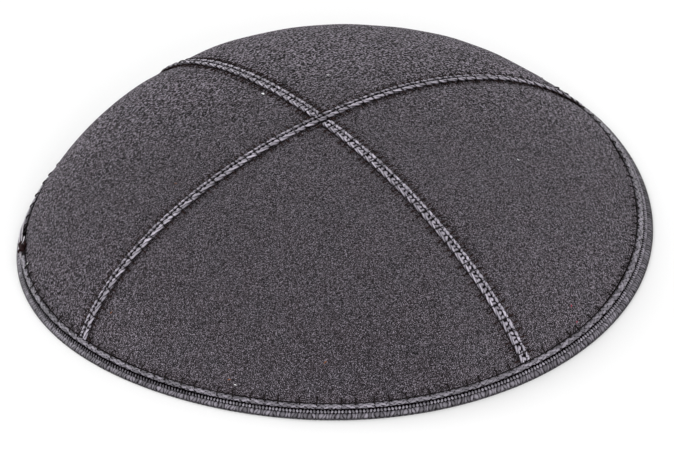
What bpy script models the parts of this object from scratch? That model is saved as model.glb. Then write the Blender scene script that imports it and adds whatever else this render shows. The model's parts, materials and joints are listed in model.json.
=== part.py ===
"""A kippah skullcap of four suede panels, with braid over its seams and round its rim.

Metres, +Z up. The cap rests on its rim: the floor is Z = 0, and the middle of the rim's
outline is the origin. The long seam runs along X, over the crown, and the short seam
crosses it along Y, in a front and a back half. Turns are in degrees, counted from +X
towards +Y, round the crown. A drop is a share of the way down from the crown, which is
0 there and 1 at the floor.
"""

import math

import bmesh
import bpy
from mathutils import Vector

NAME = "kippah_skullcap"

# The dome, measured on the outer side of the suede
RIM_RADIUS = 0.0871
CROWN_HEIGHT = 0.0413
CROWN_LEFT = 0.0042
CROWN_FRONT = 0.0043
WALL_TURN = 77.0

# The suede and how it lies
SUEDE = 0.0012
PANEL_GAP = 0.0004
PANEL_FLATTENING = 0.0009
SEAM_DIP = 0.0011
SEAM_DIP_WIDTH = 0.0060

# The braid over the seams
BRAID_WIDTH = 0.0030
BRAID_SIDE = 0.0004
BRAID_RAIL = 0.0006
BRAID_BREAK = 0.0006

# The braid folded round the rim
BINDING_HEIGHT = 0.0040
BINDING_SIDE = 0.0005
BINDING_RAIL = 0.0005
BINDING_RETURN = 0.0007
BINDING_RETURN_HEIGHT = 0.0032
BINDING_SOLE = 0.0008

# The air that each piece keeps to the suede that it lies on
SEAT = 0.0003

# How the rim's outline leaves a circle, as shares of its radius
RIM_LOBES = [
    {"lobes": 2, "share": 0.031, "turn": 91.0},
    {"lobes": 3, "share": 0.023, "turn": 30.0},
]

# How much more the wall bends on some sides, in degrees
WALL_LOBES = [
    {"lobes": 1, "bend": 9.5, "turn": 130.0},
    {"lobes": 2, "bend": 8.0, "turn": 60.0},
]

# The seams from the crown to the rim, in order round the cap
SEAM_TURNS = {"right": 0.2, "back": 91.3, "left": 179.0, "front": 269.2}

# A panel lies between two seams
PANELS = [
    {"name": "suede_panel_back_right", "start": "right", "end": "back"},
    {"name": "suede_panel_back_left", "start": "back", "end": "left"},
    {"name": "suede_panel_front_left", "start": "left", "end": "front"},
    {"name": "suede_panel_front_right", "start": "front", "end": "right"},
]

# How finely the pieces are faceted
PANEL_COLUMNS = 16
PANEL_ROWS = 14
BRAID_STEPS = 22
RAIL_FACETS = 4
RIM_STEPS = 96
MERGE = 0.00005

FULL_TURN = 360.0


def lobe(turn, row):
    """The height of a row's wave at a turn, from -1 to 1."""
    return math.cos(math.radians(row["lobes"] * (turn - row["turn"])))


def rim_radius(turn):
    """The crown-centred radius of the suede's outer side, were it to reach the floor."""
    return RIM_RADIUS * (1.0 + sum(row["share"] * lobe(turn, row) for row in RIM_LOBES))


def wall_angle(turn):
    """How steep the wall is at the floor, in radians from level."""
    return math.radians(WALL_TURN + sum(row["bend"] * lobe(turn, row) for row in WALL_LOBES))


def seam_distance(turn):
    """The angle to the nearest seam, in radians."""
    gaps = [abs((turn - seam + FULL_TURN / 2) % FULL_TURN - FULL_TURN / 2)
            for seam in SEAM_TURNS.values()]
    return math.radians(min(gaps))


def spread(turn, drop):
    """How far out a drop lies, as a share of the rim's radius."""
    angle = wall_angle(turn)
    return math.sin(angle * drop) / math.sin(angle)


def swell(turn, drop):
    """How far the suede stands off the plain dome: the seams dip and the panels are flat."""
    side = seam_distance(turn)
    along = math.sin(math.pi * drop)
    reach = side * rim_radius(turn) * spread(turn, drop)
    dip = SEAM_DIP * math.exp(-(reach / SEAM_DIP_WIDTH) ** 2)
    flat = PANEL_FLATTENING * math.sin(2.0 * side) ** 2
    return -(dip + flat) * along


def plan_direction(turn):
    """The level unit vector at a turn."""
    return Vector((math.cos(math.radians(turn)), math.sin(math.radians(turn)), 0.0))


def dome_point(turn, drop):
    """A point of the suede's outer side, before the cap is centred."""
    angle = wall_angle(turn)
    share = spread(turn, drop)
    rise = (math.cos(angle * drop) - math.cos(angle)) / (1.0 - math.cos(angle))
    out = plan_direction(turn)
    crown = Vector((-CROWN_LEFT, -CROWN_FRONT, 0.0))
    base = crown * (1.0 - share) + out * rim_radius(turn) * share
    base.z = CROWN_HEIGHT * rise
    slope = out * math.sin(angle * drop) + Vector((0.0, 0.0, math.cos(angle * drop)))
    return base + slope * swell(turn, drop)


def outline_middle():
    """The middle of the rim's outline, which the cap is centred on."""
    rim = [dome_point(FULL_TURN * step / RIM_STEPS, 1.0) for step in range(RIM_STEPS)]
    middle_x = (min(point.x for point in rim) + max(point.x for point in rim)) / 2
    middle_y = (min(point.y for point in rim) + max(point.y for point in rim)) / 2
    return Vector((middle_x, middle_y, 0.0))


MIDDLE = outline_middle()


def cap_point(turn, drop):
    """A point of the suede's outer side, in place."""
    return dome_point(turn, drop) - MIDDLE


def drop_at(turn, height):
    """The drop at which the wall stands this high over the floor, close to the rim."""
    angle = wall_angle(turn)
    level = math.cos(angle) + height / CROWN_HEIGHT * (1.0 - math.cos(angle))
    return math.acos(level) / angle


def wall_lean(turn):
    """How far the wall behind the binding runs for each metre that it rises."""
    foot = cap_point(turn, 1.0)
    over = cap_point(turn, drop_at(turn, BINDING_HEIGHT))
    return (over - foot) / over.z


def hem_height(turn):
    """How high the suede's lower edge lies, so that its inner corner clears the binding."""
    lean = wall_lean(turn)
    run = math.copysign(math.hypot(lean.x, lean.y), -lean.dot(plan_direction(turn)))
    return BINDING_SOLE + SEAT + SUEDE * max(run / lean.length, 0.0)


def finish(name, colour, roughness):
    """A plain finish in one colour."""
    material = bpy.data.materials.new(name)
    material.use_nodes = True
    shader = material.node_tree.nodes["Principled BSDF"]
    shader.inputs["Base Color"].default_value = (*colour, 1.0)
    shader.inputs["Roughness"].default_value = roughness
    shader.inputs["Metallic"].default_value = 0.0
    return material


def collection(name):
    """A collection of the scene."""
    group = bpy.data.collections.new(name)
    bpy.context.scene.collection.children.link(group)
    return group


def add_object(name, data, group, material=None):
    """An object of the mesh or curve, in a collection, with its finish."""
    piece = bpy.data.objects.new(name, data)
    group.objects.link(piece)
    if material:
        data.materials.append(material)
    return piece


def add_mesh(name, shape, group, material):
    """An object of the bmesh, shaded smooth over its soft edges."""
    mesh = bpy.data.meshes.new(name)
    shape.to_mesh(mesh)
    shape.free()
    mesh.shade_smooth()
    mesh.set_sharp_from_angle(angle=math.radians(40.0))
    return add_object(name, mesh, group, material)


def suede_panel(row, group, material):
    """A quarter of the dome: a curved sheet, thickened inwards, clear of both its seams."""
    start = SEAM_TURNS[row["start"]]
    sweep = (SEAM_TURNS[row["end"]] - start) % FULL_TURN
    top = PANEL_GAP / RIM_RADIUS
    shape = bmesh.new()
    bmesh.ops.create_grid(shape, x_segments=PANEL_COLUMNS, y_segments=PANEL_ROWS, size=0.5)
    for vertex in shape.verts:
        across = vertex.co.x + 0.5
        turn = start + sweep * across
        lowest = drop_at(turn, hem_height(turn))
        drop = top + (lowest - top) * (0.5 - vertex.co.y)
        reach = rim_radius(turn) * spread(turn, drop)
        inset = math.degrees(math.asin(PANEL_GAP / 2 / reach))
        turn = start + inset + (sweep - 2 * inset) * across
        vertex.co = cap_point(turn, drop)
    bmesh.ops.remove_doubles(shape, verts=shape.verts, dist=MERGE)
    bmesh.ops.recalc_face_normals(shape, faces=shape.faces)
    if sum(face.normal.z for face in shape.faces) < 0.0:
        bmesh.ops.reverse_faces(shape, faces=shape.faces)
    panel = add_mesh(row["name"], shape, group, material)
    wall = panel.modifiers.new("wall", "SOLIDIFY")
    wall.thickness = SUEDE
    wall.offset = -1.0
    return panel


def rail_heights():
    """Two rounded rails side by side: the share of the width and the height of each point."""
    count = 2 * RAIL_FACETS
    return [(step / count, abs(math.sin(2.0 * math.pi * step / count))) for step in range(count + 1)]


def poly_curve(name, points, closed, flat):
    """A curve of straight runs through the points."""
    curve = bpy.data.curves.new(name, "CURVE")
    curve.dimensions = "2D" if flat else "3D"
    spline = curve.splines.new("POLY")
    spline.points.add(len(points) - 1)
    for target, point in zip(spline.points, points):
        target.co = (*point, 1.0)
    spline.use_cyclic_u = closed
    return curve


def braid_profile(guides):
    """The section of the seam braid: flat below, two rails above, a seat clear of the suede."""
    half = BRAID_WIDTH / 2
    outline = [(-half, SEAT, 0.0)]
    for share, height in rail_heights():
        outline.append((BRAID_WIDTH * share - half, SEAT + BRAID_SIDE + BRAID_RAIL * height, 0.0))
    outline.append((half, SEAT, 0.0))
    profile = add_object("braid_profile", poly_curve("braid_profile", outline, True, True), guides)
    profile.hide_render = True
    profile.display_type = "WIRE"
    return profile


def seam_line(seam, first, last):
    """Points down a seam, from one drop to another."""
    steps = [first + (last - first) * step / BRAID_STEPS for step in range(BRAID_STEPS + 1)]
    return [cap_point(SEAM_TURNS[seam], drop) for drop in steps]


def binding_top(seam):
    """The drop at which a seam's braid meets the binding's upper edge."""
    return drop_at(SEAM_TURNS[seam], BINDING_HEIGHT + SEAT)


def seam_braid(name, points, profile, group, material):
    """A strip of braid that follows a seam, flat on the suede."""
    curve = poly_curve(name, points, False, False)
    curve.twist_mode = "Z_UP"
    curve.bevel_mode = "OBJECT"
    curve.bevel_object = profile
    curve.use_fill_caps = True
    return add_object(name, curve, group, material)


def binding_section(turn):
    """The binding's section at a turn, folded over the suede's lower edge.

    Its points are found by their height and by their distance from the suede's outer
    side, square to the wall.
    """
    foot = cap_point(turn, 1.0)
    lean = wall_lean(turn)
    step = FULL_TURN / RIM_STEPS / 2
    tangent = cap_point(turn + step, 1.0) - cap_point(turn - step, 1.0)
    out = tangent.cross(Vector((0.0, 0.0, 1.0))).normalized()
    outside = SEAT + BINDING_SIDE
    inside = -SUEDE - SEAT
    outline = [(outside + BINDING_RAIL * rail, BINDING_HEIGHT * share)
               for share, rail in rail_heights()]
    outline += [
        (SEAT, BINDING_HEIGHT),
        (SEAT, BINDING_SOLE),
        (inside, BINDING_SOLE),
        (inside, BINDING_RETURN_HEIGHT),
        (inside - BINDING_RETURN, BINDING_RETURN_HEIGHT),
        (inside - BINDING_RETURN, 0.0),
    ]
    return [foot + lean * height + out * away * lean.length for away, height in outline]


def rim_binding(name, group, material):
    """A closed ring of braid, lofted through the sections round the rim."""
    shape = bmesh.new()
    rings = []
    for step in range(RIM_STEPS):
        section = binding_section(FULL_TURN * step / RIM_STEPS)
        rings.append([shape.verts.new(point) for point in section])
    for here, there in zip(rings, rings[1:] + rings[:1]):
        for index in range(len(here)):
            following = (index + 1) % len(here)
            shape.faces.new((here[index], there[index], there[following], here[following]))
    bmesh.ops.recalc_face_normals(shape, faces=shape.faces)
    return add_mesh(name, shape, group, material)


def build():
    """All the pieces of the cap."""
    for leftover in list(bpy.data.objects):
        bpy.data.objects.remove(leftover, do_unlink=True)
    cap = collection(NAME)
    guides = collection("guides")
    suede = finish("charcoal_suede", (0.060, 0.056, 0.061), 0.95)
    braid = finish("grey_braid", (0.150, 0.148, 0.160), 0.80)
    for row in PANELS:
        suede_panel(row, cap, suede)
    profile = braid_profile(guides)
    break_drop = (BRAID_WIDTH / 2 + BRAID_BREAK) / RIM_RADIUS
    left = seam_line("left", binding_top("left"), 0.0)
    right = seam_line("right", 0.0, binding_top("right"))
    seam_braid("seam_braid_long", left + right[1:], profile, cap, braid)
    for side in ("front", "back"):
        line = seam_line(side, break_drop, binding_top(side))
        seam_braid("seam_braid_" + side, line, profile, cap, braid)
    rim_binding("rim_binding", cap, braid)


build()
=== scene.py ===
"""The looks of a suede skullcap: four panels, braid over their seams and round the rim.

Metres, +Z up. The cap rests on its rim: the floor is Z = 0, and the middle of the rim's
outline is the origin. Turns are in degrees, counted from +X towards +Y, round the crown.
A drop is a share of the way down from the crown, which is 0 there and 1 at the floor.
"""

import json
import math

import bmesh
import bpy
import numpy as np
from mathutils import Matrix, Vector

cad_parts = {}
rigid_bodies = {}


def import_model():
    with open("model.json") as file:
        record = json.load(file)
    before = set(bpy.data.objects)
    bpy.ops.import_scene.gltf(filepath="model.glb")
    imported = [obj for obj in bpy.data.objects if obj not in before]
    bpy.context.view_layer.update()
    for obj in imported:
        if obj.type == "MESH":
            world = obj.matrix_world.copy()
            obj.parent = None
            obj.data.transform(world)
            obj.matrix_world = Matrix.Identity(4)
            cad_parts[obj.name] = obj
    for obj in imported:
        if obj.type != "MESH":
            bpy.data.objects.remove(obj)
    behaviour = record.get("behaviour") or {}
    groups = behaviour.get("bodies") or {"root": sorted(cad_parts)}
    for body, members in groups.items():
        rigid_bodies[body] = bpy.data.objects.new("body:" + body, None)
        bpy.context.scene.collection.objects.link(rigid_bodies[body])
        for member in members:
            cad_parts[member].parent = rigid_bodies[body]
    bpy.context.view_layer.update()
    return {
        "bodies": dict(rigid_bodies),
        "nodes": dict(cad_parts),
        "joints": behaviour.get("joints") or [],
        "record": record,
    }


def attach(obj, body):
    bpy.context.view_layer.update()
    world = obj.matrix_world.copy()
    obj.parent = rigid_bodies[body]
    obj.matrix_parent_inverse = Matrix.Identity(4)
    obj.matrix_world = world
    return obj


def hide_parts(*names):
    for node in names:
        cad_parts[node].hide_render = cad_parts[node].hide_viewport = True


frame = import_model()

FULL_TURN = 360.0
UP = np.array([0.0, 0.0, 1.0])

# The dome, measured on the outer side of the suede
RIM_RADIUS = 0.0871
CROWN_HEIGHT = 0.0413
CROWN_LEFT = 0.0042
CROWN_FRONT = 0.0043
WALL_TURN = 77.0
SUEDE = 0.0012
PANEL_GAP = 0.0004
PANEL_FLATTENING = 0.0009
SEAM_DIP = 0.0011
SEAM_DIP_WIDTH = 0.0060

# The braids' main sizes
BRAID_WIDTH = 0.0030
BRAID_BREAK = 0.0006
BINDING_HEIGHT = 0.0040
BINDING_SOLE = 0.0008
BINDING_RETURN = 0.0007
BINDING_RETURN_HEIGHT = 0.0032
SEAT = 0.0003

# How the rim's outline leaves a circle, and where the wall bends more
RIM_LOBES = [
    {"lobes": 2, "share": 0.031, "turn": 91.0},
    {"lobes": 3, "share": 0.023, "turn": 30.0},
]
WALL_LOBES = [
    {"lobes": 1, "bend": 9.5, "turn": 130.0},
    {"lobes": 2, "bend": 8.0, "turn": 60.0},
]

# The seams from the crown to the rim, and the panels between them
SEAM_TURNS = {"right": 0.2, "back": 91.3, "left": 179.0, "front": 269.2}
PANELS = {
    "suede_panel_back_right": ("right", "back"),
    "suede_panel_back_left": ("back", "left"),
    "suede_panel_front_left": ("left", "front"),
    "suede_panel_front_right": ("front", "right"),
}

# The stitches: how far apart they lie, where they bite the suede and how far they wander
SEAM_STITCH = {"pitch": 0.0037, "bite": 0.0027, "wander": 0.0006, "wave": 0.023}
RIM_STITCH = {"pitch": 0.0050, "bite": 0.0012, "wander": 0.0009, "wave": 0.031}
FIRST_STITCH = 0.5

# The suede's fineness, and how the thread draws it in
EDGE_ZONE = 0.0045
EDGE_COLUMNS = 9
MIDDLE_COLUMNS = 80
PANEL_ROWS = 120
HEM_ROWS = 9
PULL = 0.00020
PULL_REACH = 0.0008
PULL_ALONG = 0.0009
PUFF = 0.00016
PUFF_AT = 0.0045
PUFF_REACH = 0.0022
UNEVENNESS = 0.00014
SMOOTH_ZONE = 0.012
BACKWARDS = np.array([0.5, 0.86])
ARM_PER_RADIUS = 1.2
MERGE = 0.00004


def lobes(turn, rows, size):
    """The sum of a table's waves at a turn."""
    return sum(row[size] * np.cos(np.radians(row["lobes"] * (turn - row["turn"]))) for row in rows)


def rim_radius(turn):
    """The crown-centred radius of the suede's outer side, were it to reach the floor."""
    return RIM_RADIUS * (1.0 + lobes(turn, RIM_LOBES, "share"))


def wall_angle(turn):
    """How steep the wall is at the floor, in radians from level."""
    return np.radians(WALL_TURN + lobes(turn, WALL_LOBES, "bend"))


def turn_apart(turn, other):
    """How many degrees lie between two turns, the short way round."""
    return np.abs((turn - other + FULL_TURN / 2) % FULL_TURN - FULL_TURN / 2)


def seam_distance(turn):
    """The angle to the nearest seam, in radians."""
    return np.radians(np.minimum.reduce([turn_apart(turn, seam) for seam in SEAM_TURNS.values()]))


def spread(turn, drop):
    """How far out a drop lies, as a share of the rim's radius."""
    angle = wall_angle(turn)
    return np.sin(angle * drop) / np.sin(angle)


def swell(turn, drop):
    """How far the suede stands off the plain dome: the seams dip and the panels are flat."""
    side = seam_distance(turn)
    reach = side * rim_radius(turn) * spread(turn, drop)
    dip = SEAM_DIP * np.exp(-(reach / SEAM_DIP_WIDTH) ** 2)
    flat = PANEL_FLATTENING * np.sin(2.0 * side) ** 2
    return -(dip + flat) * np.sin(np.pi * drop)


def plan_direction(turn):
    """The level unit vectors at some turns."""
    angle = np.radians(turn)
    return np.stack([np.cos(angle), np.sin(angle), np.zeros_like(angle)], axis=-1)


def slope_direction(turn, drop):
    """The direction that the plain dome faces."""
    lean = wall_angle(turn) * drop
    return plan_direction(turn) * np.sin(lean)[..., None] + UP * np.cos(lean)[..., None]


def dome_point(turn, drop):
    """Points of the suede's outer side, before the cap is centred."""
    turn, drop = np.broadcast_arrays(np.asarray(turn, float), np.asarray(drop, float))
    angle = wall_angle(turn)
    share = spread(turn, drop)[..., None]
    crown = np.array([-CROWN_LEFT, -CROWN_FRONT, 0.0])
    base = crown * (1.0 - share) + plan_direction(turn) * rim_radius(turn)[..., None] * share
    base[..., 2] = CROWN_HEIGHT * (np.cos(angle * drop) - np.cos(angle)) / (1.0 - np.cos(angle))
    return base + slope_direction(turn, drop) * swell(turn, drop)[..., None]


def outline_middle():
    """The middle of the rim's outline, which the cap is centred on."""
    rim = dome_point(np.arange(96) * FULL_TURN / 96, 1.0)
    middle = (rim.min(axis=0) + rim.max(axis=0)) / 2
    return middle * np.array([1.0, 1.0, 0.0])


MIDDLE = outline_middle()


def cap_point(turn, drop):
    """Points of the suede's outer side, in place."""
    return dome_point(turn, drop) - MIDDLE


def drop_at(turn, height):
    """The drop at which the wall stands this high over the floor, close to the rim."""
    angle = wall_angle(turn)
    level = np.cos(angle) + height / CROWN_HEIGHT * (1.0 - np.cos(angle))
    return np.arccos(level) / angle


def wall_lean(turn):
    """How far the wall behind the binding runs for each metre that it rises."""
    foot = cap_point(turn, 1.0)
    over = cap_point(turn, drop_at(turn, BINDING_HEIGHT))
    return (over - foot) / over[..., 2:]


def hem_height(turn):
    """How high the suede's lower edge lies, so that its inner corner clears the binding."""
    lean = wall_lean(turn)
    level_run = -np.sum(lean * plan_direction(turn), axis=-1)
    run = np.copysign(np.hypot(lean[..., 0], lean[..., 1]), level_run)
    return BINDING_SOLE + SEAT + SUEDE * np.maximum(run / np.linalg.norm(lean, axis=-1), 0.0)


def unit(vectors):
    """The vectors, each a metre long."""
    return vectors / np.linalg.norm(vectors, axis=-1, keepdims=True)


def arc_lengths(points):
    """How far along a line each of its points lies."""
    steps = np.linalg.norm(np.diff(points, axis=0), axis=1)
    return np.concatenate([[0.0], np.cumsum(steps)])


ARC_DROPS = np.linspace(0.0, 1.0, 1500)
ARMS = {seam: arc_lengths(cap_point(turn, ARC_DROPS)) for seam, turn in SEAM_TURNS.items()}


def arm_length(seam, drop):
    """How far down a seam a drop lies, from the crown."""
    return np.interp(drop, ARC_DROPS, ARMS[seam])


def arm_drop(seam, length):
    """The drop that lies this far down a seam."""
    return np.interp(length, ARMS[seam], ARC_DROPS)


def in_stitches(along, row):
    """A place along a line as a count of stitches, which lie a little unevenly."""
    wander = row["wander"] * np.sin(2.0 * np.pi * along / row["wave"])
    wander = wander + 0.6 * row["wander"] * np.sin(2.0 * np.pi * along / row["wave"] * 2.7 + 1.0)
    return (along + wander) / row["pitch"]


def stitch_gap(along, row):
    """How far the nearest stitch lies along the line, in metres."""
    count = in_stitches(along, row) - FIRST_STITCH
    return np.abs(count - np.round(count)) * row["pitch"]


def stitch_places(first, last, row):
    """Where a row's stitches lie between two places along a line."""
    fine = np.linspace(first, last, 20000)
    counts = in_stitches(fine, row) - FIRST_STITCH
    whole = np.arange(math.ceil(counts[0]), math.floor(counts[-1]) + 1)
    return np.interp(whole, counts, fine)


def hill(distance, reach):
    """A soft bump, 1 in its middle."""
    return np.exp(-(distance / reach) ** 2)


def collection(name):
    """A collection of the scene."""
    group = bpy.data.collections.new(name)
    bpy.context.scene.collection.children.link(group)
    return group


CAP = collection("skullcap")
STAGE = collection("stage")


def add_attributes(mesh, attributes, kind="FLOAT", field="value"):
    """Gives each of the mesh's points the named values."""
    for name, values in attributes.items():
        layer = mesh.attributes.new(name, kind, "POINT")
        layer.data.foreach_set(field, np.ascontiguousarray(values, dtype=np.float32).ravel())


def grid_faces(rows, columns, ring_rows, ring_columns, first):
    """The faces of a grid of points, closed on itself where it is a ring."""
    row = np.arange(rows if ring_rows else rows - 1)
    column = np.arange(columns if ring_columns else columns - 1)
    row, column = (part.ravel() for part in np.meshgrid(row, column, indexing="ij"))
    next_row = (row + 1) % rows
    next_column = (column + 1) % columns
    corners = [row * columns + column, next_row * columns + column,
               next_row * columns + next_column, row * columns + next_column]
    return (np.stack(corners, axis=1) + first).tolist()


def add_mesh(name, points, faces, attributes, materials):
    """A smooth object of the points and faces."""
    mesh = bpy.data.meshes.new(name)
    mesh.from_pydata(points.reshape(-1, 3).tolist(), [], faces)
    add_attributes(mesh, attributes)
    mesh.shade_smooth()
    for material in materials:
        mesh.materials.append(material)
    piece = bpy.data.objects.new(name, mesh)
    CAP.objects.link(piece)
    return piece


def clean_faces(piece, merge=0.0, upward=False):
    """Turns a piece's faces outwards, or an open sheet's up, once its doubles are merged."""
    shape = bmesh.new()
    shape.from_mesh(piece.data)
    if merge:
        bmesh.ops.remove_doubles(shape, verts=shape.verts, dist=merge)
    bmesh.ops.recalc_face_normals(shape, faces=shape.faces)
    if upward and sum(face.normal.z for face in shape.faces) < 0.0:
        bmesh.ops.reverse_faces(shape, faces=shape.faces)
    shape.to_mesh(piece.data)
    shape.free()


def feed(node, values):
    """Sets or links a node's inputs, by their names or numbers. A node gives its first output."""
    for key, value in values.items():
        value = value.outputs[0] if isinstance(value, bpy.types.Node) else value
        if isinstance(value, bpy.types.NodeSocket):
            node.id_data.links.new(value, node.inputs[key])
        else:
            node.inputs[key].default_value = value


def new_node(tree, kind, values=None, settings=None):
    """A node of a tree, with its settings and inputs."""
    node = tree.nodes.new(kind)
    for key, value in (settings or {}).items():
        setattr(node, key, value)
    feed(node, values or {})
    return node


def tree_of(*values):
    """The tree that the sockets among some values belong to."""
    return next(value.id_data for value in values if isinstance(value, bpy.types.NodeSocket))


def reckon(operation, *values):
    """A sum, product or other reckoning of one or two values."""
    return new_node(tree_of(*values), "ShaderNodeMath", dict(enumerate(values)),
                    {"operation": operation}).outputs[0]


def times(first, second):
    """The product of two values."""
    return reckon("MULTIPLY", first, second)


# The materials


def new_material(name):
    """A material, with its nodes and its shader."""
    material = bpy.data.materials.new(name)
    material.use_nodes = True
    return material, material.node_tree, material.node_tree.nodes["Principled BSDF"]


def rescale(value, low, high, to_low=0.0, to_high=1.0, soft=False):
    """The value, brought from one range to another and held there."""
    values = dict(enumerate((value, low, high, to_low, to_high)))
    settings = {"interpolation_type": "SMOOTHSTEP" if soft else "LINEAR"}
    return new_node(tree_of(value), "ShaderNodeMapRange", values, settings).outputs[0]


def blend_colours(share, first, second, blend="MIX"):
    """Two colours, mixed by a share of the second."""
    return new_node(tree_of(share, first, second), "ShaderNodeMix", {0: share, 6: first, 7: second},
                    {"data_type": "RGBA", "blend_type": blend}).outputs[2]


def noise(tree, size, detail=2.0, roughness=0.5, distortion=0.0):
    """Noise over the piece's own coordinates, with features of this size."""
    place = tree.nodes.new("ShaderNodeTexCoord").outputs["Object"]
    return new_node(tree, "ShaderNodeTexNoise",
                    {"Vector": place, "Scale": 1.0 / size, "Detail": detail, "Roughness": roughness,
                     "Distortion": distortion}).outputs[0]


def painted(tree, name):
    """A value that the piece's points carry."""
    return new_node(tree, "ShaderNodeAttribute", settings={"attribute_name": name}).outputs["Fac"]


def bump(height, distance, strength):
    """The surface's direction, roughened by a height."""
    return new_node(tree_of(height), "ShaderNodeBump",
                    {"Strength": strength, "Distance": distance, "Height": height}).outputs[0]


def dyed(value, tint):
    """A colour of this brightness, tinted."""
    return (value * tint[0], value * tint[1], value * tint[2], 1.0)


PLUM = (1.10, 0.81, 0.98)
SLATE = (1.00, 0.87, 1.06)
STEEL = (1.00, 0.92, 1.08)

# How large the suede's features are, from its shortest hairs to its broad patches
NAP = 0.00025
TUFTS = 0.00060
BRUSHED = 0.0065
PATCHES = 0.030

# Where the suede is darkened, measured from a seam or up from the binding: painted shadow lines where
# the braids meet it, a darker, browner band beside them, and the stitch holes
SEAM_SHADOW_LINE_AT = 0.00154
SEAM_SHADOW_LINE = (0.00004, 0.00015)
RIM_SHADOW_LINE = (-0.00010, 0.00006)
SEAM_DARKER_BAND = (0.0018, 0.0044)
RIM_DARKER_BAND = (0.0, 0.0024)
BITE_RADIUS = 0.00012
BITE_BLUR = 0.00016


def bite_marks(across, count, row):
    """Small dark holes where a row's stitches go in."""
    share = reckon("FRACT", count)
    along = times(reckon("SUBTRACT", share, FIRST_STITCH), row["pitch"])
    off = reckon("SUBTRACT", across, row["bite"])
    apart = reckon("SQRT", reckon("ADD", times(along, along), times(off, off)))
    return rescale(apart, BITE_RADIUS, BITE_RADIUS + BITE_BLUR, 1.0, 0.0, soft=True)


def suede_material():
    """Charcoal suede: a short nap, brushed in patches, darker where the thread bites and in a browner
    band beside the braids, with painted shadow lines along the braids' edges and painted light that
    brightens it towards the rim.
    """
    material, tree, shader = new_material("charcoal_suede")
    nap = noise(tree, NAP, detail=0.0, distortion=0.3)
    tufts = noise(tree, TUFTS, detail=0.0, distortion=0.5)
    brushed = noise(tree, BRUSHED, detail=3.0, roughness=0.6)
    patches = noise(tree, PATCHES, detail=3.0, roughness=0.55)
    rubbed = painted(tree, "rubbed")
    tuft_share = rescale(rubbed, 0.0, 1.0, 0.18, 0.68)
    tufted = times(tuft_share, reckon("SUBTRACT", tufts, nap))
    grain = reckon("ADD", nap, tufted)
    blur = rescale(rubbed, 0.0, 1.0, 0.152, 0.018)
    speckle = rescale(grain, reckon("SUBTRACT", 0.5, blur), reckon("ADD", 0.5, blur))
    fleck = rescale(grain, rescale(rubbed, 0.0, 1.0, 0.60, 0.55), rescale(rubbed, 0.0, 1.0, 0.73, 0.65))
    hue = rescale(brushed, 0.30, 0.70)
    dark = blend_colours(hue, dyed(0.003, PLUM), dyed(0.003, SLATE))
    light = blend_colours(hue, dyed(0.076, PLUM), dyed(0.076, SLATE))
    colour = blend_colours(speckle, dark, light)
    colour = blend_colours(fleck, colour, dyed(0.32, SLATE))
    # Painted light: the suede is painted darker up on the dome and lighter down the wall towards the
    # rim
    lower = rescale(painted(tree, "drop"), 0.50, 0.98, 0.91, 1.14)
    tone = rescale(patches, 0.3, 0.7, 0.95, 1.05)
    tone = times(tone, rescale(brushed, 0.3, 0.7, 0.975, 1.025))
    tone = times(tone, lower)
    colour = blend_colours(1.0, colour, tone, "MULTIPLY")
    seam_across, rim_above = painted(tree, "seam_across"), painted(tree, "rim_above")
    # A darker, browner band on the suede beside each seam braid and above the binding
    darker_band = reckon("MAXIMUM", rescale(seam_across, *SEAM_DARKER_BAND, 0.24, 0.0, soft=True),
                   rescale(rim_above, *RIM_DARKER_BAND, 0.15, 0.0, soft=True))
    umber = blend_colours(speckle, (0.010, 0.006, 0.006, 1.0), (0.075, 0.042, 0.042, 1.0))
    colour = blend_colours(darker_band, colour, umber)
    # Painted shadow: a near-black line along each seam braid's edge and along the top of the binding,
    # where the braid meets the suede
    from_shadow_line = reckon("ABSOLUTE", reckon("SUBTRACT", seam_across, SEAM_SHADOW_LINE_AT))
    shadow_line = reckon("MAXIMUM", rescale(from_shadow_line, *SEAM_SHADOW_LINE, 1.0, 0.0, soft=True),
                    rescale(rim_above, *RIM_SHADOW_LINE, 1.0, 0.0, soft=True))
    bites = reckon("MAXIMUM",
                   bite_marks(seam_across, painted(tree, "seam_count"), SEAM_STITCH),
                   bite_marks(rim_above, painted(tree, "rim_count"), RIM_STITCH))
    # The painted shadow lines and the stitch holes turn the suede near-black and take away its specular
    # shine and sheen
    shadow_line_and_holes = reckon("MAXIMUM", shadow_line, bites)
    clear_of_shadow_and_holes = reckon("SUBTRACT", 1.0, shadow_line_and_holes)
    sheen = rescale(grain, 0.44, 0.62, 0.0, 0.66)
    feed(shader, {
        "Base Color": blend_colours(shadow_line_and_holes, colour, (0.009, 0.006, 0.006, 1.0)),
        "Roughness": 0.94,
        "Specular IOR Level": times(clear_of_shadow_and_holes, 0.22),
        "Sheen Weight": times(sheen, clear_of_shadow_and_holes),
        "Sheen Roughness": 0.42,
        "Sheen Tint": (0.82, 0.77, 0.86, 1.0),
        "Normal": bump(grain, 0.0015, 1.0),
    })
    return material


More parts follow.
